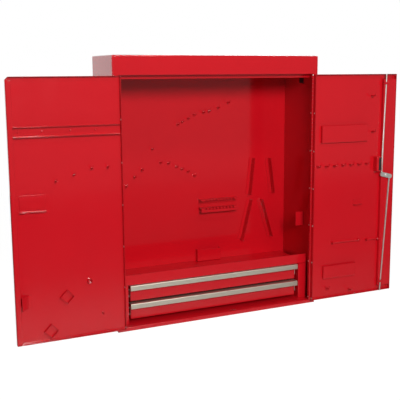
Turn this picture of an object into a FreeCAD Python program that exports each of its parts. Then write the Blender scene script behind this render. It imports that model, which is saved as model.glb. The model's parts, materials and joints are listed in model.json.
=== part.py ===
# Wall-mounted tool cabinet of folded sheet steel, with two doors, two drawers, a tray and a rod lock.
# Millimetres. The origin is the centre of the back face, which is also the centre of the four wall fixings.
# +X runs to the right as the cabinet is faced, +Y into the wall and +Z up. Both doors stand open.
import math
import os
from types import SimpleNamespace

import FreeCAD
import Part
import Sketcher

SIZES = (
    # Body
    ("width", 650.0),
    ("height", 780.0),
    ("depth", 200.0),
    ("sheet", 1.2),
    ("bend", 2.0),
    ("corner", 4.0),
    ("post_return", 13.0),
    ("band", 54.5),
    ("header_depth", 24.0),
    ("header_drop", 11.0),
    ("sill", 11.5),
    ("sill_return", 75.0),
    ("fit_gap", 0.3),
    # Wall fixings
    ("fixing_inset", 75.0),
    ("fixing_margin", 35.0),
    ("fixing_hole", 8.0),
    # Piano hinges
    ("hinge_inset", 20.0),
    ("barrel", 6.0),
    ("hinge_pin", 3.0),
    ("pin_fit", 0.06),
    ("leaf", 0.9),
    ("leaf_air", 0.95),
    ("leaf_width", 10.5),
    ("hinge_air", 0.4),
    ("knuckle", 12.0),
    ("knuckle_gap", 0.4),
    # Rivets
    ("rivet", 3.0),
    ("rivet_fit", 0.1),
    ("rivet_head", 5.0),
    ("rivet_rise", 0.8),
    ("rivet_first", 6.0),
    ("rivet_pitch", 117.5),
    # Doors
    ("door_gap", 1.5),
    ("meeting_gap", 2.0),
    ("rim", 12.0),
    ("corner_cut", 8.0),
    ("door_open", 180.0),
    ("edge_strip", 14.0),
    ("edge_channel", 47.0),
    ("channel_margin", 16.5),
    # Drawer unit
    ("unit_set_back", 30.0),
    ("unit_gap", 12.3),
    ("stile", 28.0),
    ("tray_height", 125.0),
    ("tray_lip", 30.5),
    ("front_set_back", 40.0),
    ("front_gap", 8.0),
    ("front_low", 20.0),
    ("front_deep", 10.0),
    ("drawer_gap", 7.0),
    ("tray_clear", 3.0),
    ("pull_overhang", 2.5),
    ("pull_reach", 14.0),
    ("pull_height", 14.8),
    ("pull_wall", 2.0),
    ("slide_room", 11.0),
    ("tub_room", 10.0),
    ("tub_lift", 3.5),
    ("tub_clear", 15.0),
    ("runner_height", 22.0),
    ("runner_step", 2.0),
    ("runner_clear", 10.0),
    ("unit_clear", 7.0),
    ("slide_step", 8.0),
    # Hooks and holders
    ("hook_thick", 3.0),
    ("hook_reach", 24.0),
    ("hook_height", 10.5),
    ("hook_bar", 4.0),
    ("hook_tip", 4.0),
    ("hook_nose", 3.0),
    ("ledge_right", 186.0),
    ("ledge_length", 130.0),
    ("ledge_reach", 24.0),
    ("ledge_web", 16.0),
    ("ledge_slot", 5.0),
    ("ledge_slot_deep", 14.0),
    ("ledge_slot_drop", 6.0),
    ("ledge_pitch", 12.0),
    ("upper_ledge", 328.0),
    ("upper_ledge_lip", 4.0),
    ("lower_ledge", 301.0),
    ("lower_ledge_lip", 14.0),
    ("rack_foot", 11.0),
    ("rack_reach", 24.0),
    ("rack_notch", 4.5),
    ("bracket_left", 323.0),
    ("bracket_right", 405.0),
    ("bracket_height", 38.5),
    ("bracket_reach", 16.0),
    ("tab_set_back", 70.0),
    ("tab_bottom", 240.0),
    ("tab_height", 45.0),
    ("tab_reach", 29.0),
    ("tab_foot", 14.0),
    ("wall_slot_set_back", 83.0),
    ("wall_slot_below", 15.5),
    ("wall_slot_length", 20.0),
    ("wall_slot_height", 12.0),
    ("plug_rim", 2.0),
    ("plug_rim_thick", 1.6),
    # Left door fittings
    ("rail_below", 128.5),
    ("rail_height", 27.0),
    ("rail_reach", 14.0),
    ("rail_air", 1.2),
    ("rail_rivet", 5.0),
    ("short_ledge_start", 212.0),
    ("short_ledge_inset", 23.0),
    ("short_ledge_below", 307.0),
    ("short_ledge_height", 45.0),
    ("short_ledge_notch", 18.0),
    ("short_ledge_notch_width", 8.0),
    ("ring_along", 101.0),
    ("ring_up", 167.0),
    ("ring", 15.0),
    ("ring_wall", 2.5),
    ("ring_reach", 10.0),
    ("square", 29.0),
    ("square_wall", 2.0),
    ("square_reach", 8.0),
    ("strap_inset", 16.0),
    ("strap_length", 28.0),
    ("strap_foot", 8.0),
    ("strap_rise", 18.0),
    ("strap_bottom", 112.0),
    ("strap_height", 36.0),
    ("strap_wall", 1.6),
    # Right door fittings
    ("pocket_start", 29.0),
    ("pocket_inset", 104.0),
    ("pocket_below", 158.0),
    ("pocket_height", 53.0),
    ("pocket_reach", 10.0),
    ("holder_start", 44.0),
    ("holder_inset", 138.0),
    ("holder_bottom", 76.5),
    ("holder_height", 41.5),
    ("holder_reach", 8.0),
    ("wire", 3.0),
    ("wire_post", 7.0),
    ("wire_reach", 13.0),
    ("long_wire_up", 193.0),
    ("short_wire_up", 190.0),
    ("long_wire_start", 74.0),
    ("long_wire_inset", 123.0),
    ("short_wire_inset", 98.0),
    ("short_wire_length", 48.0),
    ("clip_start", 155.0),
    ("clip_length", 32.0),
    ("clip_bottom", 309.0),
    ("clip_height", 17.0),
    ("clip_reach", 10.0),
    ("row_start", 17.0),
    ("row_inset", 105.0),
    ("row_below", 280.0),
    # Rod lock
    ("lock_inset", 34.0),
    ("lock_lift", 31.5),
    ("case_gap", 19.5),
    ("case_width", 19.5),
    ("case_rise", 14.0),
    ("case_height", 48.0),
    ("case_reach", 19.4),
    ("case_slot", 11.0),
    ("case_strip", 7.5),
    ("case_slot_margin", 3.0),
    ("sleeve", 18.0),
    ("sleeve_flange", 24.0),
    ("sleeve_flange_thick", 2.0),
    ("sleeve_length", 8.5),
    ("nut_flats", 23.0),
    ("nut_thick", 4.0),
    ("plug", 10.0),
    ("plug_fit", 0.08),
    ("spindle", 8.0),
    ("spindle_hole", 13.0),
    ("key_slot", 1.6),
    ("key_slot_length", 7.0),
    ("key_slot_deep", 3.0),
    ("cam_arm", 16.0),
    ("cam_rest", 15.0),
    ("cam_width", 14.0),
    ("cam_thick", 3.0),
    ("cam_screw", 9.0),
    ("cam_screw_thick", 2.4),
    ("cam_pin", 5.0),
    ("cam_pin_fit", 0.08),
    ("rod_width", 4.2),
    ("rod_thick", 3.0),
    ("rod_air", 0.6),
    ("rod_eye", 11.0),
    ("upper_guide_below", 29.0),
    ("lower_guide_above", 32.0),
    ("upper_guide_shift", 7.8),
    ("lower_guide_shift", 6.4),
    ("guide_room", 4.9),
    ("guide_foot", 5.0),
    ("guide_height", 8.0),
    ("rod_hole_half", 8.0),
    ("rod_hole_deep", 9.0),
)

# Places of the back panel's hooks: from the left side, and below the band or above the bottom
UPPER_BACK_HOOKS = (
    (263, 151), (278, 143), (298, 133), (319, 123), (350, 116), (369, 113), (401, 102), (436, 87),
)
LOWER_BACK_HOOKS = (
    (92, 391), (119, 418), (144, 439), (178, 501),
    (204, 458), (230, 454), (257, 442), (275, 434), (296, 425), (318, 410),
)
# Places of the door hooks: from the hinge line or the free edge, and below the door's top or above the bottom
UPPER_LEFT_HOOKS = ((184, 271), (135, 256), (87, 242), (42, 241))
LOWER_LEFT_HOOK = (68, 75)
UPPER_RIGHT_HOOKS_INSET = ((89, 65), (84, 178))
LOWER_RIGHT_HOOKS = ((58, 49), (145, 34))
ROW_HOOKS = 7
SQUARES = ((165, 130), (211, 39))
RAIL_RIVETS = (73, 140, 215, 276)
# Rack strips: foot and top of each strip, from the right side and above the bottom
NOTCHED_RACKS = {
    "upper_left_rack": ((136, 332), (123, 452)),
    "lower_left_rack": ((165, 182), (131, 315)),
}
PLAIN_RACKS = (((48, 332), (64, 449)), ((54, 184), (92, 313)))
RACK_NOTCHES = 9
HINGE_RIVETS = 6


class Size:
    """A length with its number and the sheet expression that gives it."""

    def __init__(self, number, text):
        self.number = number
        self.text = text

    def join(self, other, sign, number):
        return Size(number, f"({self.text} {sign} {sized(other).text})")

    def __add__(self, other):
        return self.join(other, "+", self.number + sized(other).number)

    def __sub__(self, other):
        return self.join(other, "-", self.number - sized(other).number)

    def __mul__(self, other):
        return self.join(other, "*", self.number * sized(other).number)

    def __truediv__(self, other):
        return self.join(other, "/", self.number / sized(other).number)

    def __neg__(self):
        return self * -1

    def __radd__(self, other):
        return sized(other) + self

    def __rsub__(self, other):
        return sized(other) - self

    def __rmul__(self, other):
        return sized(other) * self


def sized(value):
    """Turns a plain number into a Size and leaves a Size as it is."""
    return value if isinstance(value, Size) else Size(value, f"({value})")


doc = FreeCAD.newDocument("tool_cabinet")
sheet_page = doc.addObject("Spreadsheet::Sheet", "Sizes")
for row, (alias, value) in enumerate(SIZES, 1):
    sheet_page.set(f"A{row}", str(value))
    sheet_page.setAlias(f"A{row}", alias)
doc.recompute()
s = SimpleNamespace(**{alias: Size(value, f"Sizes.{alias}") for alias, value in SIZES})
nodes = []

# Places that several pieces share
half = s.width / 2
inner_half = half - s.sheet
front = -s.depth
hinge_stand = s.barrel / 2 + s.hinge_air
axis_across = half - s.hinge_inset
band_bottom = s.height - s.band
door_bottom = s.sill + s.door_gap
door_top = band_bottom - s.door_gap
door_near = s.leaf_air + s.leaf
door_far = axis_across - s.meeting_gap / 2
door_face = hinge_stand
door_inside = door_face + s.sheet
door_rim = door_face + s.rim
unit_half = inner_half - s.unit_gap
unit_wall = unit_half - s.stile
drawer_pitch = (s.tray_height - s.tray_clear - s.front_low + s.drawer_gap) / 2
front_height = drawer_pitch - s.drawer_gap
tub_height = front_height - s.tub_lift - s.tub_room
lock_along = door_far - s.lock_inset
lock_up = (door_bottom + door_top) / 2 + s.lock_lift
upper_guide = (lock_along - s.upper_guide_shift, door_top - s.upper_guide_below)
lower_guide = (lock_along - s.lower_guide_shift, door_bottom + s.lower_guide_above)
fold_end = door_face + s.bend
rivet_depth = s.corner + s.rivet_head / 2 + s.fit_gap
rod_low = door_rim + s.rod_air
rod_high = rod_low + s.rod_thick
cam_low = rod_high + s.rod_air
cam_high = cam_low + s.cam_thick


def up(value):
    """Height above the cabinet's bottom, as a place in the frame."""
    return value - s.height / 2


def inward(value):
    """Distance behind the front plane, as a place in the frame."""
    return value - s.depth


def span(first, second):
    """Two places in rising order."""
    return (first, second) if sized(first).number <= sized(second).number else (second, first)


def sided(side, first, second):
    """A stretch to the right of the middle, or its mirror image to the left."""
    return span(sized(first) * side, sized(second) * side)


def bind(thing, prop, value):
    """Binds one property to the sheet."""
    thing.setExpression(prop, sized(value).text)


# Plain solids

def box(x, y, z):
    block = doc.addObject("Part::Box", "block")
    for prop, axis, (low, high) in (("Length", "x", x), ("Width", "y", y), ("Height", "z", z)):
        bind(block, prop, sized(high) - low)
        bind(block, f"Placement.Base.{axis}", low)
    return block


TURNS = {
    "x": FreeCAD.Rotation(FreeCAD.Vector(0, 1, 0), 90),
    "y": FreeCAD.Rotation(FreeCAD.Vector(1, 0, 0), -90),
    "z": FreeCAD.Rotation(),
}


def bar(along, low, high, centre, diameter):
    """A round bar along one axis; centre holds its places on the other two axes, in order."""
    round_bar = doc.addObject("Part::Cylinder", "bar")
    round_bar.Placement.Rotation = TURNS[along]
    bind(round_bar, "Radius", sized(diameter) / 2)
    bind(round_bar, "Height", sized(high) - low)
    places = dict(zip([axis for axis in "xyz" if axis != along], centre))
    places[along] = low
    for axis, place in places.items():
        bind(round_bar, f"Placement.Base.{axis}", place)
    return round_bar


def fuse(*pieces):
    whole = doc.addObject("Part::MultiFuse", "joined")
    whole.Shapes = list(pieces)
    whole.Refine = True
    return whole


def cut(base, *tools):
    result = doc.addObject("Part::Cut", "cut")
    result.Base = base
    result.Tool = tools[0] if len(tools) == 1 else fuse(*tools)
    return result


def group(pieces):
    together = doc.addObject("Part::Compound", "group")
    together.Links = list(pieces)
    return together


# Folded sheet

def origin_part(body, role):
    """One of the body's own planes or axes."""
    return [part for part in body.Origin.OriginFeatures if part.Role == role][0]


def outline(body, plane, start, points):
    """A closed sketch through the points, each held to the sheet, on one of the body's own planes."""
    sketch = body.newObject("Sketcher::SketchObject", "outline")
    sketch.AttachmentSupport = [(origin_part(body, plane), "")]
    sketch.MapMode = "FlatFace"
    bind(sketch, "AttachmentOffset.Base.z", start)
    corners = [FreeCAD.Vector(sized(a).number, sized(b).number, 0) for a, b in points]
    for here, there in zip(corners, corners[1:] + corners[:1]):
        sketch.addGeometry(Part.LineSegment(here, there), False)
    for edge in range(len(corners)):
        sketch.addConstraint(Sketcher.Constraint("Coincident", edge, 2, (edge + 1) % len(corners), 1))
    for edge, point in enumerate(points):
        for kind, place in zip(("DistanceX", "DistanceY"), point):
            held = Sketcher.Constraint(kind, -1, 1, edge, 1, sized(place).number)
            bind(sketch, f"Constraints[{sketch.addConstraint(held)}]", place)
    return sketch


def pad(body, sketch, length):
    block = body.newObject("PartDesign::Pad", "pad")
    block.Profile = sketch
    bind(block, "Length", length)
    doc.recompute()
    return block


def fillet(body, base, edges, radius):
    rounding = body.newObject("PartDesign::Fillet", "bends")
    rounding.Base = (base, [f"Edge{number}" for number in edges])
    bind(rounding, "Radius", radius)
    doc.recompute()
    return rounding


# For each way of extruding: sketch plane, sign of its normal, and the two axes that the sketch lies on
PLANES = {"x": ("YZ_Plane", 1, "yz"), "y": ("XZ_Plane", -1, "xz"), "z": ("XY_Plane", 1, "xy")}


def bend_edges(shape, axes, points, wall):
    """Edges at the outside and at the inside of each fold; a sheet's own cut ends are left out."""
    flat = [(sized(a).number, sized(b).number) for a, b in points]
    area = sum(p[0] * q[1] - q[0] * p[1] for p, q in zip(flat, flat[1:] + flat[:1]))
    found = {"outer": [], "inner": []}
    for before, here, after in zip(flat[-1:] + flat[:-1], flat, flat[1:] + flat[:1]):
        if min(math.dist(before, here), math.dist(here, after)) < 2 * wall:
            continue
        turn = (here[0] - before[0]) * (after[1] - here[1]) - (here[1] - before[1]) * (after[0] - here[0])
        kind = "outer" if turn * area > 0 else "inner"
        for number, edge in enumerate(shape.Edges, 1):
            ends = [[getattr(vertex.Point, axis) for axis in axes] for vertex in edge.Vertexes]
            if all(math.dist(end, here) < 1e-4 for end in ends):
                found[kind].append(number)
    return found


def folded(along, low, high, points, wall, outer):
    """A sheet with the given folded profile; each fold is rounded by the outer radius."""
    plane, normal, axes = PLANES[along]
    body = doc.addObject("PartDesign::Body", "folded")
    start = low if normal > 0 else -sized(high)
    feature = pad(body, outline(body, plane, start, points), sized(high) - low)
    for kind, radius in (("outer", outer), ("inner", outer - wall)):
        edges = bend_edges(feature.Shape, axes, points, wall.number)[kind]
        if edges:
            feature = fillet(body, feature, edges, radius)
    return body


def rectangle(a, b):
    return [(a[0], b[0]), (a[1], b[0]), (a[1], b[1]), (a[0], b[1])]


WAYS = {
    "+Y": FreeCAD.Vector(0, 1, 0),
    "-Y": FreeCAD.Vector(0, -1, 0),
    "+Z": FreeCAD.Vector(0, 0, 1),
    "-Z": FreeCAD.Vector(0, 0, -1),
}


def faces_at(shape, ways):
    """Numbers of the flat faces that look the given ways."""
    return [number for number, face in enumerate(shape.Faces, 1)
            if any((face.normalAt(0, 0) - WAYS[way]).Length < 1e-6 for way in ways)]


def pan(x, y, z, open_ways, wall, outer, cut_corner=None):
    """A folded pan: a block with its folds rounded, hollowed from the open faces to the wall's thickness."""
    body = doc.addObject("PartDesign::Body", "pan")
    feature = pad(body, outline(body, "XY_Plane", z[0], rectangle(x, y)), sized(z[1]) - z[0])
    if cut_corner:
        place = [sized(value).number for value in cut_corner]
        chosen = [number for number, edge in enumerate(feature.Shape.Edges, 1)
                  if all(math.dist((end.Point.x, end.Point.z), place) < 1e-4 for end in edge.Vertexes)]
        bevel = body.newObject("PartDesign::Chamfer", "corner_cut")
        bevel.Base = (feature, [f"Edge{number}" for number in chosen])
        bind(bevel, "Size", s.corner_cut)
        doc.recompute()
        feature = bevel
    open_faces = [feature.Shape.Faces[number - 1] for number in faces_at(feature.Shape, open_ways)]
    rims = [edge for face in open_faces for edge in face.Edges]
    folds = [number for number, edge in enumerate(feature.Shape.Edges, 1)
             if not any(edge.isSame(rim) for rim in rims)]
    feature = fillet(body, feature, folds, outer)
    hollow = body.newObject("PartDesign::Thickness", "hollow")
    hollow.Base = (feature, [f"Face{number}" for number in faces_at(feature.Shape, open_ways)])
    bind(hollow, "Value", wall)
    hollow.Reversed = True
    doc.recompute()
    return body


# Doors swing about their hinge lines, and everything on a door is drawn from its line

LEFT, RIGHT = -1, 1


def door_placement(side):
    return FreeCAD.Placement(FreeCAD.Vector(side * axis_across.number, (front - hinge_stand).number, 0),
                             FreeCAD.Rotation(FreeCAD.Vector(0, 0, 1), side * s.door_open.number))


def along_door(side, first, second):
    """A stretch measured from the hinge line towards the free edge."""
    return sided(-side, first, second)


def keep(piece, label, placement=None):
    """Names a finished sub-part and puts it in its place."""
    if placement:
        if piece.TypeId in ("Part::Box", "Part::Cylinder"):
            piece = group([piece])
        piece.Placement = placement
    piece.Label = label
    nodes.append(piece)


# Hinges and rivets

def rivet_heights():
    return [door_bottom + s.rivet_first + s.rivet_pitch * count for count in range(HINGE_RIVETS)]


def rivet_along_x(side, head_at, way, centre):
    """A rivet through a leaf and the sheet behind it; way points from its head into the sheet."""
    tail_at = head_at + (s.leaf + s.sheet) * way
    head = bar("x", *sided(side, head_at - s.rivet_rise * way, head_at), centre, s.rivet_head)
    shank = bar("x", *sided(side, head_at, tail_at), centre, s.rivet)
    tail = bar("x", *sided(side, tail_at, tail_at + s.rivet_rise * way), centre, s.rivet_head)
    return fuse(head, shank, tail)


def rivet_holes(side, first, second, depth):
    return [bar("x", *sided(side, first, second), (depth, up(height)), s.rivet + s.rivet_fit * 2)
            for height in rivet_heights()]


def hinge_leaf(side, offset, first_knuckle):
    """A leaf with every second knuckle, drawn about the hinge line; offset tells its side of the line."""
    body = doc.addObject("PartDesign::Body", "hinge_leaf")
    plate = span(s.leaf_air * side * offset, door_near * side * offset)
    reach = hinge_stand
    pad(body, outline(body, "XY_Plane", up(door_bottom), rectangle(plate, (reach, reach + s.leaf_width))),
        door_top - door_bottom)
    start = up(door_bottom) + s.knuckle * first_knuckle
    length = s.knuckle - s.knuckle_gap
    ring = body.newObject("Sketcher::SketchObject", "ring")
    ring.AttachmentSupport = [(origin_part(body, "XY_Plane"), "")]
    ring.MapMode = "FlatFace"
    bind(ring, "AttachmentOffset.Base.z", start)
    for index, diameter in enumerate((s.barrel, s.hinge_pin + s.pin_fit * 2)):
        circle = Part.Circle(FreeCAD.Vector(), FreeCAD.Vector(0, 0, 1), diameter.number / 2)
        ring.addGeometry(circle, False)
        ring.addConstraint(Sketcher.Constraint("Coincident", index, 3, -1, 1))
        held = Sketcher.Constraint("Radius", index, diameter.number / 2)
        bind(ring, f"Constraints[{ring.addConstraint(held)}]", diameter / 2)
    pieces = [pad(body, ring, length)]
    neck = outline(body, "XY_Plane", start, rectangle(plate, (s.barrel / 2 - s.leaf, reach + s.leaf)))
    pieces.append(pad(body, neck, length))
    room = (door_top - door_bottom).number - s.knuckle.number * (first_knuckle + 1)
    count = int(room // (2 * s.knuckle.number)) + 1
    rows = body.newObject("PartDesign::LinearPattern", "knuckles")
    rows.Originals = pieces
    rows.Direction = (origin_part(body, "Z_Axis"), [""])
    bind(rows, "Length", s.knuckle * 2 * (count - 1))
    rows.Occurrences = count
    body.Tip = rows
    doc.recompute()
    return body


def hinges():
    depth = hinge_stand + rivet_depth
    pins = []
    rivets = []
    for side, word in ((LEFT, "left"), (RIGHT, "right")):
        line = FreeCAD.Placement(FreeCAD.Vector(side * axis_across.number, (front - hinge_stand).number, 0),
                                 FreeCAD.Rotation())
        frame_leaf = cut(hinge_leaf(side, 1, 0), *rivet_holes(side, 0, s.leaf * 3, depth))
        keep(frame_leaf, f"{word}_hinge_frame_leaf", line)
        door_leaf = cut(hinge_leaf(side, -1, 1), *rivet_holes(-side, 0, s.leaf * 3, depth))
        keep(door_leaf, f"{word}_hinge_door_leaf", door_placement(side))
        pins.append(bar("z", up(door_bottom), up(door_top),
                        (axis_across * side, front - hinge_stand), s.hinge_pin))
        door_rivets = [rivet_along_x(-side, s.leaf_air, 1, (depth, up(height))) for height in rivet_heights()]
        keep(group(door_rivets), f"{word}_door_hinge_rivets", door_placement(side))
        rivets += [rivet_along_x(side, axis_across + s.leaf_air, 1, (front + rivet_depth, up(height)))
                   for height in rivet_heights()]
    keep(group(pins), "hinge_pins")
    keep(group(rivets), "frame_hinge_rivets")


# Body

def side_panel(side, word):
    face = axis_across + door_near
    back_of_return = front + s.post_return
    profile = [(half, 0), (half, front), (face, front), (face, back_of_return),
               (face + s.sheet, back_of_return), (face + s.sheet, front + s.sheet),
               (inner_half, front + s.sheet), (inner_half, 0)]
    body = folded("z", up(s.sill), up(band_bottom), [(x * side, y) for x, y in profile], s.sheet, s.corner)
    foot = rectangle(sided(side, inner_half, half), (front, 0))
    pad(body, outline(body, "XY_Plane", up(0), foot), s.sill)
    tools = rivet_holes(side, face - s.sheet, face + s.sheet * 2, front + rivet_depth)
    if side == RIGHT:
        near = inward(s.wall_slot_set_back)
        high = up(band_bottom - s.wall_slot_below)
        tools.append(box((inner_half - s.sheet, half + s.sheet), (near, near + s.wall_slot_length),
                         (high - s.wall_slot_height, high)))
    keep(cut(body, *tools), f"{word}_side_panel")


def rod_hole(low, high):
    """The opening that takes the end of a rod when the closed doors are locked."""
    across = axis_across - (upper_guide[0] + lower_guide[0]) / 2
    depth = front - hinge_stand + (rod_low + rod_high) / 2
    return box((across - s.rod_hole_half, across + s.rod_hole_half),
               (depth - s.rod_hole_deep / 2, depth + s.rod_hole_deep / 2), (low, high))


def body_shell():
    side_panel(LEFT, "left")
    side_panel(RIGHT, "right")
    keep(pan((-half, half), (front, 0), (up(band_bottom), up(s.height)), ("-Z", "+Y"), s.sheet, s.corner),
         "top_cover")
    flange = up(band_bottom)
    lip = inward(s.header_depth)
    profile = [(front + s.sheet, flange), (lip - s.sheet, flange), (lip - s.sheet, flange - s.header_drop),
               (lip, flange - s.header_drop), (lip, flange + s.sheet), (front + s.sheet, flange + s.sheet)]
    header_half = half - s.corner
    header = folded("x", -header_half, header_half, profile, s.sheet, s.bend)
    keep(cut(header, rod_hole(flange - s.sheet, flange + s.sheet * 2)), "header_rail")
    low = up(0)
    high = up(s.sill)
    inner_end = front + s.sill_return
    profile = [(inner_end, low), (front, low), (front, high), (-s.sheet, high), (-s.sheet, low),
               (-s.sheet * 2, low), (-s.sheet * 2, high - s.sheet), (front + s.sheet, high - s.sheet),
               (front + s.sheet, low + s.sheet), (inner_end, low + s.sheet)]
    floor = folded("x", -inner_half, inner_half, profile, s.sheet, s.bend)
    keep(cut(floor, rod_hole(high - s.sheet * 2, high + s.sheet)), "floor_panel")
    back = doc.addObject("PartDesign::Body", "back")
    x = (-inner_half, inner_half)
    z = (up(0), up(s.height - s.sheet))
    plate = pad(back, outline(back, "XZ_Plane", 0, rectangle(x, z)), s.sheet)
    corners = [number for number, edge in enumerate(plate.Shape.Edges, 1)
               if edge.Length < s.corner.number and abs(edge.CenterOfMass.z - z[1].number) < 1e-4]
    fillet(back, plate, corners, s.corner - s.sheet)
    places = [((half - s.fixing_inset) * across, (s.height / 2 - s.fixing_margin) * rise)
              for across in (-1, 1) for rise in (-1, 1)]
    holes = [bar("y", -s.sheet * 2, s.sheet, place, s.fixing_hole) for place in places]
    keep(cut(back, *holes), "back_panel")


# Drawer unit

def unit_frame():
    near = inward(s.unit_set_back)
    far = -s.unit_clear
    for side, word in ((LEFT, "left"), (RIGHT, "right")):
        profile = [(unit_half, near), (unit_wall, near), (unit_wall, far), (unit_half, far),
                   (unit_half, far - s.sheet), (unit_wall + s.sheet, far - s.sheet),
                   (unit_wall + s.sheet, near + s.sheet), (unit_half, near + s.sheet)]
        keep(folded("z", up(s.sill), up(s.tray_height), [(x * side, y) for x, y in profile], s.sheet, s.bend),
             f"drawer_unit_{word}_side")
    floor = up(s.tray_height)
    lip_top = floor + s.tray_lip
    wall = -s.sheet - s.fit_gap
    profile = [(near, floor), (wall, floor), (wall, floor + s.sheet), (near + s.sheet, floor + s.sheet),
               (near + s.sheet, lip_top), (near, lip_top)]
    keep(folded("x", -unit_half, unit_half, profile, s.sheet, s.bend), "tray")


def channel(side, web, lips, low, high):
    """A C-section seen along Y, with its web on the outside and its two lips towards the middle."""
    inside = web - s.sheet
    profile = [(web, low), (lips, low), (lips, low + s.sheet), (inside, low + s.sheet),
               (inside, high - s.sheet), (lips, high - s.sheet), (lips, high), (web, high)]
    return [(x * side, z) for x, z in profile]


def drawer(word, lift):
    low = s.front_low + drawer_pitch * lift
    high = low + front_height
    near = inward(s.front_set_back)
    front_rim = near + s.front_deep
    tub_far = -s.tub_clear
    tub_low = low + s.tub_lift
    front_half = unit_wall - s.front_gap
    tub_half = unit_wall - s.slide_room
    pull_half = front_half + s.pull_overhang
    keep(pan((-front_half, front_half), (near, front_rim), (up(low), up(high)), ("+Y",), s.sheet, s.bend),
         f"{word}_drawer_front")
    keep(pan((-tub_half, tub_half), (near + s.sheet, tub_far), (up(tub_low), up(tub_low + tub_height)),
             ("+Z",), s.sheet, s.bend), f"{word}_drawer_tub")
    tip = near - s.pull_reach
    top = up(high) + s.pull_wall
    profile = [(tip, top - s.pull_height), (tip + s.pull_wall, top - s.pull_height),
               (tip + s.pull_wall, top - s.pull_wall), (front_rim, top - s.pull_wall),
               (front_rim, top), (tip, top)]
    keep(folded("x", -pull_half, pull_half, profile, s.pull_wall, s.pull_wall + s.fit_gap),
         f"{word}_drawer_pull")
    middle = up(tub_low + tub_height / 2)
    runners = []
    slides = []
    for side in (LEFT, RIGHT):
        rail = channel(side, unit_wall, tub_half + s.sheet, middle - s.runner_height / 2,
                       middle + s.runner_height / 2)
        runners.append(folded("y", front_rim + s.runner_step, -s.runner_clear, rail, s.sheet, s.bend))
        rise = s.runner_height / 2 - s.sheet - s.fit_gap
        strip = channel(side, unit_wall - s.sheet * 2, tub_half, middle - rise, middle + rise)
        slides.append(folded("y", front_rim + s.slide_step, tub_far, strip, s.sheet, s.bend))
    keep(group(slides), f"{word}_drawer_slides")
    return runners


# Tool holders on the back panel and on the right wall

def hook(across, height, base, way):
    """An upturned hook cut from thick sheet and set on edge; height is its middle and way its direction."""
    inner = s.hook_reach - s.hook_tip
    low = height - s.hook_height / 2
    level = low + s.hook_bar
    high = low + s.hook_height
    profile = [(0, low), (s.hook_reach - s.hook_nose, low), (s.hook_reach, low + s.hook_nose),
               (s.hook_reach, high), (inner, high), (inner - s.hook_nose / 2, level), (s.hook_nose, level),
               (0, level + s.hook_nose)]
    body = doc.addObject("PartDesign::Body", "hook")
    places = [(base + sized(out) * way, rise) for out, rise in profile]
    pad(body, outline(body, "YZ_Plane", across - s.hook_thick / 2, places), s.hook_thick)
    return body


def bit_ledge(height, lip):
    """A shelf on a web with a lip along its front, and a row of open slots for bits and keys."""
    base = -s.sheet
    edge = base - s.ledge_reach
    left = half - s.ledge_right - s.ledge_length
    top = up(height)
    profile = [(base, top), (base, top - s.ledge_web), (base - s.sheet, top - s.ledge_web),
               (base - s.sheet, top - s.sheet), (edge + s.sheet, top - s.sheet), (edge + s.sheet, top - lip),
               (edge, top - lip), (edge, top)]
    shelf = folded("x", left, left + s.ledge_length, profile, s.sheet, s.bend)
    count = int((s.ledge_length.number - s.ledge_pitch.number) // s.ledge_pitch.number)
    first = left + (s.ledge_length - s.ledge_pitch * (count - 1)) / 2
    slots = []
    for step in range(count):
        middle = first + s.ledge_pitch * step
        slots.append(box((middle - s.ledge_slot / 2, middle + s.ledge_slot / 2),
                         (edge - s.sheet, edge + s.ledge_slot_deep),
                         (top - s.ledge_slot_drop, top + s.sheet)))
    return cut(shelf, *slots)


def rack_strip(foot, head, notches=0):
    """A slanted angle strip that stands out from the back panel; a notched edge holds spanners apart."""
    lean = math.degrees(math.atan2(foot[0] - head[0], head[1] - foot[1]))
    length = math.dist(foot, head)
    profile = [(0, 0), (-s.rack_foot, 0), (-s.rack_foot, -s.sheet), (-s.sheet, -s.sheet),
               (-s.sheet, -s.rack_reach), (0, -s.rack_reach)]
    strip = folded("z", 0, length, profile, s.sheet, s.bend)
    teeth = []
    slant = s.rack_notch * math.sqrt(2)
    for count in range(notches):
        tooth = box((-s.sheet * 2, s.sheet), (0, slant), (0, slant))
        tooth.Placement.Rotation = FreeCAD.Rotation(FreeCAD.Vector(1, 0, 0), 135)
        bind(tooth, "Placement.Base.y", s.rack_notch - s.rack_reach)
        bind(tooth, "Placement.Base.z", length * (count + 0.5) / notches)
        teeth.append(tooth)
    if teeth:
        strip = cut(strip, *teeth)
    place = FreeCAD.Vector(half.number - foot[0], -s.sheet.number, up(foot[1]).number)
    strip.Placement = FreeCAD.Placement(place, FreeCAD.Rotation(FreeCAD.Vector(0, 1, 0), lean))
    return strip


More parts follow.
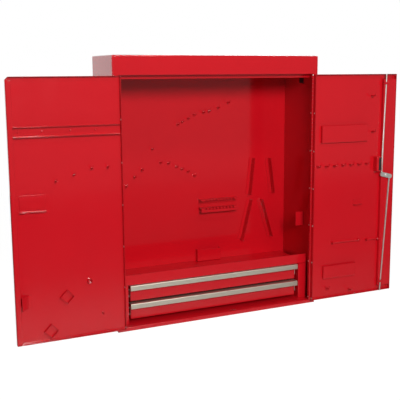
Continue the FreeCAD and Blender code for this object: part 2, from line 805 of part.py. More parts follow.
def holders():
    base = -s.sheet
    places = [(across, band_bottom - below) for across, below in UPPER_BACK_HOOKS] + list(LOWER_BACK_HOOKS)
    keep(group([hook(across - half, up(height), base, -1) for across, height in places]), "back_hooks")
    keep(group([bit_ledge(s.upper_ledge, s.upper_ledge_lip), bit_ledge(s.lower_ledge, s.lower_ledge_lip)]),
         "bit_ledges")
    for label, (foot, head) in NOTCHED_RACKS.items():
        keep(rack_strip(foot, head, RACK_NOTCHES), label)
    keep(group([rack_strip(foot, head) for foot, head in PLAIN_RACKS]), "plain_racks")
    low = up(s.tray_height) + s.sheet + s.fit_gap
    keep(pan((s.bracket_left - half, s.bracket_right - half), (base - s.bracket_reach, base),
             (low, low + s.bracket_height), ("+Z", "+Y"), s.sheet, s.bend), "back_pocket")
    z = (up(s.tab_bottom), up(s.tab_bottom + s.tab_height))
    tab = [(inner_half, inward(s.tab_set_back)), (inner_half - s.tab_reach, inward(s.tab_set_back)),
           (inner_half - s.tab_reach, inward(s.tab_set_back + s.sheet)),
           (inner_half - s.sheet, inward(s.tab_set_back + s.sheet)),
           (inner_half - s.sheet, inward(s.tab_set_back + s.tab_foot)),
           (inner_half, inward(s.tab_set_back + s.tab_foot))]
    keep(folded("z", *z, tab, s.sheet, s.bend), "side_wall_tab")
    near = inward(s.wall_slot_set_back)
    high = up(band_bottom - s.wall_slot_below)
    low = high - s.wall_slot_height
    rim = box((inner_half - s.plug_rim_thick, inner_half),
              (near - s.plug_rim, near + s.wall_slot_length + s.plug_rim),
              (low - s.plug_rim, high + s.plug_rim))
    core = box((inner_half, half), (near + s.fit_gap, near + s.wall_slot_length - s.fit_gap),
               (low + s.fit_gap, high - s.fit_gap))
    keep(fuse(rim, core), "wall_slot_plug")


# Doors

def lock_holes(low, high, diameter):
    return bar("y", low, high, (-lock_along, up(lock_up)), diameter)


def door_panel(side, word):
    corner = (door_far, up(door_top)) if side == LEFT else None
    skin = pan(along_door(side, door_near, door_far), (door_face, door_rim), (up(door_bottom), up(door_top)),
               ("+Y",), s.sheet, s.bend, corner)
    tools = rivet_holes(-side, 0, door_near + s.sheet * 2, hinge_stand + rivet_depth)
    if side == RIGHT:
        tools.append(lock_holes(door_face - s.sheet, door_inside + s.sheet, s.sleeve + s.rivet_fit * 2))
    keep(cut(skin, *tools), f"{word}_door_panel", door_placement(side))


def left_door():
    place = door_placement(LEFT)
    door_panel(LEFT, "left")
    far = door_far - s.sheet
    near = door_far - s.edge_strip
    profile = [(near, door_rim), (near, door_rim - s.sheet), (far - s.sheet, door_rim - s.sheet),
               (far - s.sheet, fold_end), (far, fold_end), (far, door_rim)]
    z = (up(door_bottom + s.bend), up(door_top - s.corner_cut - s.bend))
    keep(folded("z", *z, profile, s.sheet, s.bend), "left_door_edge_strip", place)
    reach = door_inside + s.rail_reach
    high = up(door_top - s.rail_below)
    low = high - s.rail_height
    web = door_inside + s.sheet
    profile = [(door_inside, low), (reach, low), (reach, low + s.sheet), (web, low + s.sheet),
               (web, high - s.sheet), (reach, high - s.sheet), (reach, high), (door_inside, high)]
    keep(folded("x", door_near + s.sheet + s.rail_air, near - s.rail_air, profile, s.sheet, s.bend),
         "left_door_rail", place)
    heads = [bar("y", web, web + s.rivet_rise, (along, (low + high) / 2), s.rail_rivet)
             for along in RAIL_RIVETS]
    keep(group(heads), "left_door_rail_rivets", place)
    high = up(door_top - s.short_ledge_below)
    low = high - s.short_ledge_height
    profile = [(door_inside, low), (reach, low), (reach, low + s.sheet), (web, low + s.sheet), (web, high),
               (door_inside, high)]
    ledge_end = door_far - s.short_ledge_inset
    ledge = folded("x", s.short_ledge_start, ledge_end, profile, s.sheet, s.bend)
    notch_end = ledge_end - s.short_ledge_notch
    notch = box((notch_end - s.short_ledge_notch_width, notch_end), (web + s.bend, reach + s.sheet),
                (low - s.sheet, low + s.sheet * 2))
    keep(cut(ledge, notch), "left_door_ledge", place)
    places = [(along, door_top - below) for along, below in UPPER_LEFT_HOOKS] + [LOWER_LEFT_HOOK]
    hooks = [hook(along, up(height), door_inside, 1) for along, height in places]
    keep(group(hooks), "left_door_hooks", place)
    edge = door_far - s.strap_inset
    foot = edge - s.strap_length
    bend = foot + s.strap_foot
    rise = door_inside + s.strap_rise
    skin = door_inside + s.strap_wall
    profile = [(foot, door_inside), (bend, door_inside), (edge, rise), (edge, rise + s.strap_wall),
               (bend, skin), (foot, skin)]
    strap = doc.addObject("PartDesign::Body", "strap")
    pad(strap, outline(strap, "XY_Plane", up(s.strap_bottom), profile), s.strap_height)
    keep(strap, "left_door_strap", place)
    centre = (s.ring_along, up(s.ring_up))
    outside = bar("y", door_inside, door_inside + s.ring_reach, centre, s.ring)
    hole = bar("y", door_inside - s.sheet, door_inside + s.ring_reach * 2, centre, s.ring - s.ring_wall * 2)
    keep(cut(outside, hole), "left_door_ring", place)
    squares = []
    for along, height in SQUARES:
        ring = cut(box((-s.square / 2, s.square / 2), (0, s.square_reach), (-s.square / 2, s.square / 2)),
                   box((s.square_wall - s.square / 2, s.square / 2 - s.square_wall),
                       (-s.sheet, s.square_reach * 2),
                       (s.square_wall - s.square / 2, s.square / 2 - s.square_wall)))
        ring.Placement = FreeCAD.Placement(FreeCAD.Vector(along, door_inside.number, up(height).number),
                                           FreeCAD.Rotation(FreeCAD.Vector(0, 1, 0), 45))
        squares.append(ring)
    keep(group(squares), "left_door_square_holders", place)


def right_door():
    place = door_placement(RIGHT)
    door_panel(RIGHT, "right")
    far = door_far - s.sheet
    near = far - s.edge_channel
    profile = [(near, door_inside), (near, door_rim), (far, door_rim), (far, fold_end),
               (far - s.sheet, fold_end), (far - s.sheet, door_rim - s.sheet),
               (near + s.sheet, door_rim - s.sheet), (near + s.sheet, door_inside)]
    stiffener = folded("z", up(door_bottom + s.channel_margin), up(door_top - s.channel_margin),
                       [(-u, w) for u, w in profile], s.sheet, s.bend)
    hole = lock_holes(door_rim - s.sheet * 3, door_rim + s.sheet, s.spindle_hole)
    keep(cut(stiffener, hole), "right_door_edge_channel", place)
    pocket_top = door_top - s.pocket_below
    for label, start, end, low, high, reach in (
            ("right_door_pocket", s.pocket_start, door_far - s.pocket_inset, pocket_top - s.pocket_height,
             pocket_top, s.pocket_reach),
            ("right_door_box", s.holder_start, door_far - s.holder_inset, s.holder_bottom,
             s.holder_bottom + s.holder_height, s.holder_reach)):
        keep(pan((-end, -start), (door_inside, door_inside + reach), (up(low), up(high)), ("+Z", "-Y"),
                 s.sheet, s.bend), label, place)
    row_pitch = (door_far - s.row_inset - s.row_start) / (ROW_HOOKS - 1)
    places = [(s.row_start + row_pitch * count, door_top - s.row_below) for count in range(ROW_HOOKS)]
    places += [(door_far - inset, door_top - below) for inset, below in UPPER_RIGHT_HOOKS_INSET]
    places += [(sized(along), height) for along, height in LOWER_RIGHT_HOOKS]
    hooks = [hook(-along, up(height), door_inside, 1) for along, height in places]
    keep(group(hooks), "right_door_hooks", place)
    bars = []
    out = door_inside + s.wire_reach
    short_start = door_far - s.short_wire_inset
    for start, end, height in ((s.long_wire_start, door_far - s.long_wire_inset, up(s.long_wire_up)),
                               (short_start, short_start + s.short_wire_length, up(s.short_wire_up))):
        posts = [bar("y", door_inside, out, (-along, height), s.wire_post)
                 for along in (start + s.wire_post / 2, end - s.wire_post / 2)]
        wire = bar("x", -end + s.wire_post / 2, -start - s.wire_post / 2, (out - s.wire, height), s.wire)
        bars.append(fuse(wire, *posts))
    keep(group(bars), "right_door_wire_bars", place)
    low = up(s.clip_bottom)
    high = low + s.clip_height
    reach = door_inside + s.clip_reach
    web = door_inside + s.sheet
    profile = [(door_inside, low), (reach, low), (reach, low + s.sheet), (web, low + s.sheet), (web, high),
               (door_inside, high)]
    keep(folded("x", -s.clip_start - s.clip_length, -s.clip_start, profile, s.sheet, s.bend),
         "right_door_small_bracket", place)


# Rod lock on the right door

def lock_case():
    place = door_placement(RIGHT)
    reach = door_inside + s.case_reach
    case_end = lock_along - s.case_gap
    case_start = case_end - s.case_width
    x = (-case_end, -case_start)
    z = (up(lock_up + s.case_rise), up(lock_up + s.case_rise + s.case_height))
    cover = pan(x, (door_inside, reach), z, ("-Y",), s.sheet, s.bend)
    slot_x = (-case_start - s.case_strip - s.case_slot, -case_start - s.case_strip)
    slot_z = (z[0] + s.case_slot_margin, z[1] - s.case_slot_margin)
    keep(cut(cover, box(slot_x, (reach - s.sheet * 2, reach + s.sheet), slot_z)), "lock_case", place)
    keep(box((x[0] + s.bend, x[1] - s.bend), (door_inside, reach - s.sheet - s.fit_gap),
             (z[0] + s.bend, z[1] - s.bend)), "lock_guide_insert", place)


def cam_and_rods():
    place = door_placement(RIGHT)
    centre = (-lock_along, up(lock_up))
    outside = door_face - s.sleeve_flange_thick
    flange = bar("y", outside, door_face, centre, s.sleeve_flange)
    tube = bar("y", door_face, door_inside + s.sleeve_length, centre, s.sleeve)
    bore = bar("y", outside - s.sheet, door_inside + s.sleeve_length * 2, centre, s.plug + s.plug_fit * 2)
    keep(cut(fuse(flange, tube), bore), "lock_sleeve", place)
    nut = doc.addObject("Part::Prism", "hexagon")
    nut.Polygon = 6
    bind(nut, "Circumradius", s.nut_flats / math.sqrt(3))
    bind(nut, "Height", s.nut_thick)
    flats_sideways = FreeCAD.Rotation(FreeCAD.Vector(0, 1, 0), 30)
    nut.Placement = FreeCAD.Placement(FreeCAD.Vector(centre[0].number, door_inside.number, centre[1].number),
                                      flats_sideways * TURNS["y"])
    opening = bar("y", door_face, door_inside + s.nut_thick * 2, centre, s.sleeve + s.rivet_fit * 2)
    keep(cut(nut, opening), "lock_nut", place)
    body = bar("y", outside, door_inside + s.sleeve_length, centre, s.plug)
    spindle = bar("y", door_inside + s.sleeve_length, cam_low, centre, s.spindle)
    slot = box((centre[0] - s.key_slot / 2, centre[0] + s.key_slot / 2),
               (outside - s.sheet, outside + s.key_slot_deep),
               (centre[1] - s.key_slot_length / 2, centre[1] + s.key_slot_length / 2))
    keep(cut(fuse(body, spindle), slot), "lock_plug", place)
    keep(bar("y", cam_high, cam_high + s.cam_screw_thick, centre, s.cam_screw), "cam_screw", place)

    arm = s.cam_arm
    ends = [bar("y", cam_low, cam_high, (arm * way, 0), s.cam_width) for way in (-1, 1)]
    link = box((-arm, arm), (cam_low, cam_high), (-s.cam_width / 2, s.cam_width / 2))
    pins = [bar("y", rod_low, cam_low, (arm * way, 0), s.cam_pin) for way in (-1, 1)]
    tilt = math.radians(s.cam_rest.number)
    turned = FreeCAD.Rotation(FreeCAD.Vector(0, 1, 0), -s.cam_rest.number)
    middle = FreeCAD.Vector(centre[0].number, 0, centre[1].number)
    keep(fuse(link, *ends, *pins), "lock_cam", place * FreeCAD.Placement(middle, turned))

    for label, way, (guide_along, guide_up), end in (("upper_rod", 1, upper_guide, door_top),
                                                     ("lower_rod", -1, lower_guide, door_bottom)):
        pin_along = lock_along.number - way * arm.number * math.cos(tilt)
        pin_up = lock_up.number + way * arm.number * math.sin(tilt)
        lean = math.atan2(pin_along - guide_along.number, guide_up.number - pin_up)
        corner_rise = s.rod_width.number / 2 * abs(math.sin(lean))
        length = (abs(end.number - pin_up) - corner_rise) / abs(math.cos(lean))
        shaft = box((-s.rod_width / 2, s.rod_width / 2), (rod_low, rod_high), (0, length))
        eye = bar("y", rod_low, rod_high, (0, 0), s.rod_eye)
        hole = bar("y", rod_low - s.sheet, rod_high + s.sheet, (0, 0), s.cam_pin + s.cam_pin_fit * 2)
        pivot = FreeCAD.Vector(-pin_along, 0, up(pin_up).number)
        lean_turn = FreeCAD.Rotation(FreeCAD.Vector(0, 1, 0), math.degrees(lean))
        keep(cut(fuse(shaft, eye), hole), label, place * FreeCAD.Placement(pivot, lean_turn))


def rod_guides():
    guides = []
    for along, height in (upper_guide, lower_guide):
        z = (up(height - s.guide_height / 2), up(height + s.guide_height / 2))
        roof = rod_high + s.rod_air
        foot = door_rim + s.sheet
        inner = (along - s.guide_room, along + s.guide_room)
        outer = (inner[0] - s.sheet, inner[1] + s.sheet)
        tip = (inner[0] - s.guide_foot, inner[1] + s.guide_foot)
        profile = [(tip[0], door_rim), (inner[0], door_rim), (inner[0], roof), (inner[1], roof),
                   (inner[1], door_rim), (tip[1], door_rim), (tip[1], foot), (outer[1], foot),
                   (outer[1], roof + s.sheet), (outer[0], roof + s.sheet), (outer[0], foot), (tip[0], foot)]
        guides.append(folded("z", *z, [(-u, w) for u, w in profile], s.sheet, s.sheet + s.fit_gap))
    keep(group(guides), "rod_guides", door_placement(RIGHT))


body_shell()
hinges()
unit_frame()
keep(group(drawer("lower", 0) + drawer("upper", 1)), "drawer_runners")
holders()
left_door()
right_door()
lock_case()
cam_and_rods()
rod_guides()
doc.recompute()

for thing in doc.Objects:
    if "Invalid" in thing.State or "Error" in thing.State:
        raise RuntimeError(f"{thing.Label} did not build")
os.makedirs("parts", exist_ok=True)
for node in nodes:
    if node.Shape.isNull() or not node.Shape.isValid():
        raise RuntimeError(f"{node.Label} has no valid shape")
    node.Shape.exportStep(f"parts/{node.Label}.step")
print(len(nodes), "sub-parts")
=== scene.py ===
# %% [markdown]
# # A wall-mounted tool cabinet
# The cabinet is folded from 1.2 mm sheet steel and painted red. Its doors stand open and show hooks,
# racks, a tray, two drawers and a rod lock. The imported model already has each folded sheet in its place,
# so this lesson is about finishes, about the small repeated pieces that nodes make well, and about light.

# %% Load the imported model
import json
import math

import bmesh
import bpy
from mathutils import Matrix, Vector


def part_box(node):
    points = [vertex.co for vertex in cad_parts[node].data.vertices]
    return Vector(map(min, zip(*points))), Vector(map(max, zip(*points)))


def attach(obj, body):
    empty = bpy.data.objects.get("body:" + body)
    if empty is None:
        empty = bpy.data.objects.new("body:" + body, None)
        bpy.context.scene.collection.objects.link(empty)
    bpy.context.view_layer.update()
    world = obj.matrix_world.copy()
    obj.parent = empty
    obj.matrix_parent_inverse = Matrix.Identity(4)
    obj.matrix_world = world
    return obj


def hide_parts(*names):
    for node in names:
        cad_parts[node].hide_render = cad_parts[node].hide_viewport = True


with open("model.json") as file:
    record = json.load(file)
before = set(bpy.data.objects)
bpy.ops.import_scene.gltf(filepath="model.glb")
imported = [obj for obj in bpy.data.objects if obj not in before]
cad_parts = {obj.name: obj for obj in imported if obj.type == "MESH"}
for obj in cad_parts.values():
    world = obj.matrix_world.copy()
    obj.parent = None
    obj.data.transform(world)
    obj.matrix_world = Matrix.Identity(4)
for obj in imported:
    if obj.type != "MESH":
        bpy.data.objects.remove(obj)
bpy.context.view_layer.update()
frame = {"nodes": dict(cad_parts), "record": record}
nodes = frame["nodes"]
MM = 0.001
WELD = 1e-6

# %% [markdown]
# ## One helper for every node
# Materials and geometry trees are both made of nodes with settings, values and links. One small function
# adds a node of any kind. A value that is a socket becomes a link, and anything else is set on the input.

# %% Node helper and colour helper
def add(tree, kind, values=None, **settings):
    new = tree.nodes.new(kind)
    for name, value in settings.items():
        setattr(new, name, value)
    for key, value in (values or {}).items():
        if isinstance(value, bpy.types.NodeSocket):
            tree.links.new(value, new.inputs[key])
        else:
            new.inputs[key].default_value = value
    return new


def linear(code):
    """Turns an sRGB hex colour into the linear numbers that a shader wants."""
    parts = [int(code[i:i + 2], 16) / 255 for i in (1, 3, 5)]
    return [p / 12.92 if p <= 0.04045 else ((p + 0.055) / 1.055) ** 2.4 for p in parts] + [1.0]


print("a mid grey in linear light:", [round(v, 3) for v in linear("#808080")])

# %% [markdown]
# ## The parts of a finish
# Every finish here starts from a principled shader and breaks its colour, gloss and surface up with noise.
# Those few moves get a function each. A noise is asked for by its real size in millimetres, because a finish
# looks wrong as soon as its grain has the wrong size.

# %% Material helpers
def new_material(name, fixed):
    """A material with a principled shader; fixed gives the inputs that don't vary over the surface."""
    material = bpy.data.materials.new(name)
    material.use_nodes = True
    tree = material.node_tree
    tree.nodes.clear()
    shader = add(tree, "ShaderNodeBsdfPrincipled", fixed)
    add(tree, "ShaderNodeOutputMaterial", {"Surface": shader.outputs["BSDF"]})
    place = add(tree, "ShaderNodeTexCoord").outputs["Object"]
    return material, tree, shader, place


def link(tree, source, shader, socket):
    tree.links.new(source, shader.inputs[socket])


def noise(tree, place, millimetres, detail):
    """A cloudy value from 0 to 1 whose pattern has this real size."""
    return add(tree, "ShaderNodeTexNoise", {"Vector": place, "Scale": 1000.0 / millimetres,
                                            "Detail": detail}).outputs["Fac"]


def blend(tree, factor, first, second):
    """A colour between two others."""
    return add(tree, "ShaderNodeMix", {"Factor": factor, "A": first, "B": second},
               data_type="RGBA").outputs["Result"]


def spread(tree, value, low, high):
    """Stretches a value from 0 to 1 so that it runs from low to high."""
    return add(tree, "ShaderNodeMapRange", {"Value": value, "To Min": low, "To Max": high}).outputs["Result"]


def emboss(tree, shader, height, strength, depth, **normal):
    """Makes the surface uneven; a normal may be given to start from."""
    bump = add(tree, "ShaderNodeBump", {"Height": height, "Strength": strength, "Distance": depth, **normal})
    link(tree, bump.outputs["Normal"], shader, "Normal")


print("helpers for colour, gloss and surface are ready")

# %% [markdown]
# ## Red gloss enamel
# Stoved enamel flows out to a hard gloss over the steel. The eye sees a deep red with a clear reflection,
# broken by a faint orange peel. A noise of a few millimetres in the bump gives the peel. A second noise,
# much wider, shifts the red a little, because sprayed paint is never equally thick. The peel of real enamel
# is about 2 mm across, too fine for this picture, so it is drawn at 6 mm. Paint draws back from a sharp edge
# and hands rub it there, so edges are a little duller and browner. The mask compares the true normal with
# one that is rounded over 1.5 mm: they differ only near an edge. A noise breaks the mask up, as wear is never
# even. The rounded normal also carries the bump, because a coat of enamel rounds the cut edge of a sheet, and
# the edge then catches light.

# %% Red gloss enamel
AGREE_ON_FACE, AGREE_AT_EDGE = 0.99, 0.75
EDGE_RADIUS = 1.5 * MM
THIN_RED, THICK_RED, RUBBED_RED = (linear(code) for code in ("#C60E1C", "#CE121E", "#9E1A1C"))
RUBBED_ROUGHNESS = 0.15


def edge_wear(tree, cloud, radius):
    """A mask, 0 on faces and up to 1 near edges, broken up by a cloud, and the rounded normal."""
    rounded = add(tree, "ShaderNodeBevel", {"Radius": radius}, samples=4).outputs["Normal"]
    flat = add(tree, "ShaderNodeNewGeometry").outputs["Normal"]
    agree = add(tree, "ShaderNodeVectorMath", {0: rounded, 1: flat}, operation="DOT_PRODUCT")
    near = add(tree, "ShaderNodeMapRange", {"Value": agree.outputs["Value"], "From Min": AGREE_ON_FACE,
                                            "From Max": AGREE_AT_EDGE})
    worn = add(tree, "ShaderNodeMath", {0: near.outputs["Result"], 1: cloud}, operation="MULTIPLY")
    return worn.outputs[0], rounded


def red_gloss_enamel():
    material, tree, shader, place = new_material(
        "red_gloss_enamel", {"IOR": 1.5, "Coat Weight": 0.25, "Coat Roughness": 0.06})
    reds = blend(tree, noise(tree, place, 220, 2.0), THIN_RED, THICK_RED)
    haze = noise(tree, place, 45, 3.0)
    worn, rounded = edge_wear(tree, haze, EDGE_RADIUS)
    link(tree, blend(tree, worn, reds, RUBBED_RED), shader, "Base Color")
    gloss = spread(tree, haze, 0.08, 0.18)
    dulled = add(tree, "ShaderNodeMath", {0: worn, 1: RUBBED_ROUGHNESS, 2: gloss}, operation="MULTIPLY_ADD")
    link(tree, dulled.outputs[0], shader, "Roughness")
    emboss(tree, shader, noise(tree, place, 6, 1.0), 0.12, 0.2 * MM, Normal=rounded)
    return material


enamel = red_gloss_enamel()
print("made", enamel.name)

# %% [markdown]
# ## Bare metals
# The drawer pulls are drawn aluminium with a satin anodised skin, whose die lines run along their length.
# The lock rods and the cam are bright zinc plate, a little cloudy. The lock barrel is chrome. All three are
# metals, so their colour sits in the reflection and their index of refraction stays at the default.

# %% Metals
DIE_LINE_STRETCH = (0.01, 1.0, 1.0)


def satin_anodised_aluminium():
    material, tree, shader, place = new_material("satin_anodised_aluminium", {"Metallic": 1.0})
    stretched = add(tree, "ShaderNodeMapping", {"Vector": place, "Scale": DIE_LINE_STRETCH})
    lines = noise(tree, stretched.outputs["Vector"], 1.5, 3.0)
    link(tree, blend(tree, lines, linear("#D3C9B8"), linear("#E2DACB")), shader, "Base Color")
    link(tree, spread(tree, lines, 0.38, 0.55), shader, "Roughness")
    emboss(tree, shader, lines, 0.2, 0.05 * MM)
    return material


def bright_zinc_plate():
    material, tree, shader, place = new_material("bright_zinc_plate", {"Metallic": 1.0})
    cloud = noise(tree, place, 9, 4.0)
    link(tree, blend(tree, cloud, linear("#D2D1CB"), linear("#ECEAE3")), shader, "Base Color")
    link(tree, spread(tree, cloud, 0.45, 0.62), shader, "Roughness")
    return material


def polished_chrome():
    material, tree, shader, place = new_material(
        "polished_chrome", {"Metallic": 1.0, "Base Color": linear("#DADBDD")})
    link(tree, spread(tree, noise(tree, place, 5, 3.0), 0.05, 0.18), shader, "Roughness")
    return material


aluminium = satin_anodised_aluminium()
zinc = bright_zinc_plate()
chrome = polished_chrome()
print("made", aluminium.name, zinc.name, chrome.name)

# %% [markdown]
# ## Dark nylon
# The block inside the lock case is moulded nylon. Moulded plastic takes the fine grain of its mould, so its
# sheen is broken up by a noise of about one millimetre.

# %% Dark nylon
def moulded_nylon():
    material, tree, shader, place = new_material("moulded_nylon", {"IOR": 1.53, "Roughness": 0.55})
    grain = noise(tree, place, 1, 2.0)
    link(tree, blend(tree, grain, linear("#170F0F"), linear("#241918")), shader, "Base Color")
    emboss(tree, shader, grain, 0.2, 0.1 * MM)
    return material


nylon = moulded_nylon()
FINISHES = {"red_paint": enamel, "zinc": zinc, "aluminium": aluminium, "lock_chrome": chrome,
            "dark_nylon": nylon}
print("finishes", list(FINISHES))

# %% [markdown]
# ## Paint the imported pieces
# The record names a finish slot for each piece, and the loop gives each node the material of its slot. The
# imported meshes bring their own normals, so the bends already shade smoothly and the sheet's cut edges stay
# crisp.

# %% Assign the finishes
slot_of = {entry["node"]: entry["material_slot"] for entry in frame["record"]["subparts"]}
for name, piece in nodes.items():
    piece.data.materials.clear()
    piece.data.materials.append(FINISHES[slot_of[name]])
print({slot: list(slot_of.values()).count(slot) for slot in FINISHES})

# %% [markdown]
# ## Finding the separate solids
# A packed group, such as a row of rivets, is one mesh with many separate solids. To set a better shape in
# each place, the script needs those places. It merges a copy of the mesh, walks from each vertex to its
# neighbours, and so gets one box for each solid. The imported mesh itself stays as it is.

# %% Boxes of the solids in a group
def welded_copy(name):
    shape = bmesh.new()
    shape.from_mesh(nodes[name].data)
    bmesh.ops.remove_doubles(shape, verts=shape.verts, dist=WELD)
    return shape


def solid_boxes(name):
    shape = welded_copy(name)
    waiting = set(shape.verts)
    boxes = []
    while waiting:
        to_visit = [waiting.pop()]
        found = []
        while to_visit:
            vertex = to_visit.pop()
            found.append(vertex.co.copy())
            for edge in vertex.link_edges:
                other = edge.other_vert(vertex)
                if other in waiting:
                    waiting.remove(other)
                    to_visit.append(other)
        boxes.append((Vector(map(min, zip(*found))), Vector(map(max, zip(*found)))))
    shape.free()
    return boxes


rivet_boxes = {name: solid_boxes(name) for name in nodes if name.endswith("rivets")}
hook_boxes = {name: solid_boxes(name) for name in nodes if name.endswith("hooks")}
print("rivets", sum(map(len, rivet_boxes.values())), "hooks", sum(map(len, hook_boxes.values())))

# %% [markdown]
# ## A tree that works on points
# Rivets and hooks repeat, so Geometry Nodes make them: one shape, set on every point of a small cloud. Each
# point carries the way it faces as an attribute. The first function below starts such a tree with named
# inputs, and the second ends it. The third runs a tree on a cloud and keeps the outcome as a plain mesh,
# which an export can carry. The last ties a piece to its body and hides the imported piece it stands for.

# %% Start a tree, end a tree, run a tree
def new_tree(name, sizes):
    tree = bpy.data.node_groups.new(name, "GeometryNodeTree")
    tree.is_modifier = True
    tree.interface.new_socket("Cloud", in_out="INPUT", socket_type="NodeSocketGeometry")
    for label, value in sizes.items():
        socket = tree.interface.new_socket(label, in_out="INPUT", socket_type="NodeSocketFloat")
        socket.default_value = value
    tree.interface.new_socket("Finish", in_out="INPUT", socket_type="NodeSocketMaterial")
    tree.interface.new_socket("Pieces", in_out="OUTPUT", socket_type="NodeSocketGeometry")
    return tree, add(tree, "NodeGroupInput").outputs


def set_on_points(tree, given, shape):
    """Sets a shape on each point, turned to the point's way, and ends the tree."""
    way = add(tree, "GeometryNodeInputNamedAttribute", {"Name": "way"}, data_type="FLOAT_VECTOR")
    turn = add(tree, "FunctionNodeAlignRotationToVector", {"Vector": way.outputs["Attribute"]}, axis="Z")
    copies = add(tree, "GeometryNodeInstanceOnPoints", {
        "Points": given["Cloud"], "Instance": shape, "Rotation": turn.outputs["Rotation"]})
    real = add(tree, "GeometryNodeRealizeInstances", {"Geometry": copies.outputs["Instances"]})
    done = add(tree, "GeometryNodeSetMaterial", {"Geometry": real.outputs["Geometry"],
                                                 "Material": given["Finish"]})
    add(tree, "NodeGroupOutput", {"Pieces": done.outputs["Geometry"]})


def grow(name, tree, points, finish):
    """Runs a tree on points, each a place and a way, and returns the pieces as one plain mesh."""
    cloud = bpy.data.meshes.new(name + "_points")
    cloud.from_pydata([place for place, way in points], [], [])
    cloud.attributes.new("way", "FLOAT_VECTOR", "POINT")
    for index, (place, way) in enumerate(points):
        cloud.attributes["way"].data[index].vector = way
    maker = bpy.data.objects.new(name + "_maker", cloud)
    bpy.context.scene.collection.objects.link(maker)
    modifier = maker.modifiers.new("pieces", "NODES")
    modifier.node_group = tree
    for socket in tree.interface.items_tree:
        if socket.name == "Finish":
            modifier[socket.identifier] = finish
    mesh = bpy.data.meshes.new_from_object(maker.evaluated_get(bpy.context.evaluated_depsgraph_get()))
    bpy.data.objects.remove(maker)
    mesh.name = name
    mesh.materials.clear()
    mesh.materials.append(finish)
    mesh.polygons.foreach_set("material_index", [0] * len(mesh.polygons))
    piece = bpy.data.objects.new(name, mesh)
    bpy.context.scene.collection.objects.link(piece)
    print(name, len(points), "copies,", len(mesh.polygons), "faces")
    return piece


def dress(piece, body, slot, *stands_for):
    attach(piece, body)
    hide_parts(*stands_for)


# %% [markdown]
# ## Domed rivets
# A rivet is set by a tool with a round hollow, so its head is a low dome with a crisp rim. It could be lathed
# from a profile by hand. Here a ring is swept along a short line, and a drawn profile sets its scale on the
# way. The stem under the dome runs into the sheet, where nobody sees it. A hinge rivet has a head on each
# side.

# %% The rivet tree
RIVET_RADIUS, RISE, STEM = 2.5 * MM, 0.8 * MM, 0.8 * MM
RIVET_RINGS, RIVET_SIDES = 21, 18
STEM_FOOT, CROWN = (0.0, 0.55), (1.0, 0.08)
DOME = ((0.44, 0.55), (0.5, 0.97), (0.55, 1.0), (0.75, 0.84), (0.92, 0.5))


def rivet_tree():
    tree, given = new_tree("domed_rivets", {"Radius": RIVET_RADIUS, "Rise": RISE, "Stem": STEM})
    foot = add(tree, "ShaderNodeMath", {0: given["Stem"], 1: -1.0}, operation="MULTIPLY")
    low = add(tree, "ShaderNodeCombineXYZ", {"Z": foot.outputs[0]})
    high = add(tree, "ShaderNodeCombineXYZ", {"Z": given["Rise"]})
    line = add(tree, "GeometryNodeCurvePrimitiveLine", {"Start": low.outputs[0], "End": high.outputs[0]})
    points = add(tree, "GeometryNodeResampleCurve", {"Curve": line.outputs[0], "Count": RIVET_RINGS})
    along = add(tree, "GeometryNodeSplineParameter")
    profile = add(tree, "ShaderNodeFloatCurve", {"Value": along.outputs["Factor"]})
    drawn = profile.mapping.curves[0].points
    drawn[0].location = STEM_FOOT
    drawn[1].location = CROWN
    for place in DOME:
        drawn.new(*place)
    profile.mapping.update()
    wide = add(tree, "ShaderNodeMath", {0: profile.outputs["Value"], 1: given["Radius"]},
               operation="MULTIPLY")
    ring = add(tree, "GeometryNodeCurvePrimitiveCircle", {"Resolution": RIVET_SIDES, "Radius": 1.0})
    tube = add(tree, "GeometryNodeCurveToMesh", {
        "Curve": points.outputs[0], "Profile Curve": ring.outputs[0], "Scale": wide.outputs[0],
        "Fill Caps": True})
    set_on_points(tree, given, tube.outputs["Mesh"])
    return tree


domed_rivets = rivet_tree()
print("nodes in the rivet tree:", len(domed_rivets.nodes))

# %% [markdown]
# ## Set the rivets
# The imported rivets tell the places: a hinge rivet lies along X and gets a head at both ends. A rail rivet
# faces out of the left door, has one head, and was painted over with the door.

# %% Rivets in their places
def hinge_rivets(name):
    points = []
    for low, high in rivet_boxes[name]:
        middle = (low + high) / 2
        points.append((Vector((high.x - RISE, middle.y, middle.z)), (1, 0, 0)))
        points.append((Vector((low.x + RISE, middle.y, middle.z)), (-1, 0, 0)))
    return points


def rail_rivets(name):
    points = []
    for low, high in rivet_boxes[name]:
        middle = (low + high) / 2
        points.append((Vector((middle.x, low.y + RISE, middle.z)), (0, -1, 0)))
    return points


frame_rivets = grow("frame_rivets", domed_rivets, hinge_rivets("frame_hinge_rivets"), zinc)
dress(frame_rivets, "frame", "zinc", "frame_hinge_rivets")
left_rivets = grow("left_door_rivets", domed_rivets, hinge_rivets("left_door_hinge_rivets"), zinc)
dress(left_rivets, "left_door", "zinc", "left_door_hinge_rivets")
painted_rivets = grow("painted_rail_rivets", domed_rivets, rail_rivets("left_door_rail_rivets"), enamel)
dress(painted_rivets, "left_door", "red_paint", "left_door_rail_rivets")
right_rivets = grow("right_door_rivets", domed_rivets, hinge_rivets("right_door_hinge_rivets"), zinc)
dress(right_rivets, "right_door", "zinc", "right_door_hinge_rivets")

# %% [markdown]
# ## Bent hooks
# Each hook is a narrow tongue, set on edge, that leaves the panel level and turns up sharply at its end. A
# Bezier curve gives that bend: both of its handles sit at the corner, which keeps the bar straight and the
# turn tight. A small rounded rectangle swept along the curve gives the tongue. The sweep's scale shrinks
# towards the tip, so the tongue tapers. The root is sunk a little into the panel, and the small gusset of the
# packed hook is left out. The hook points to its own Z, and the point's way turns it.

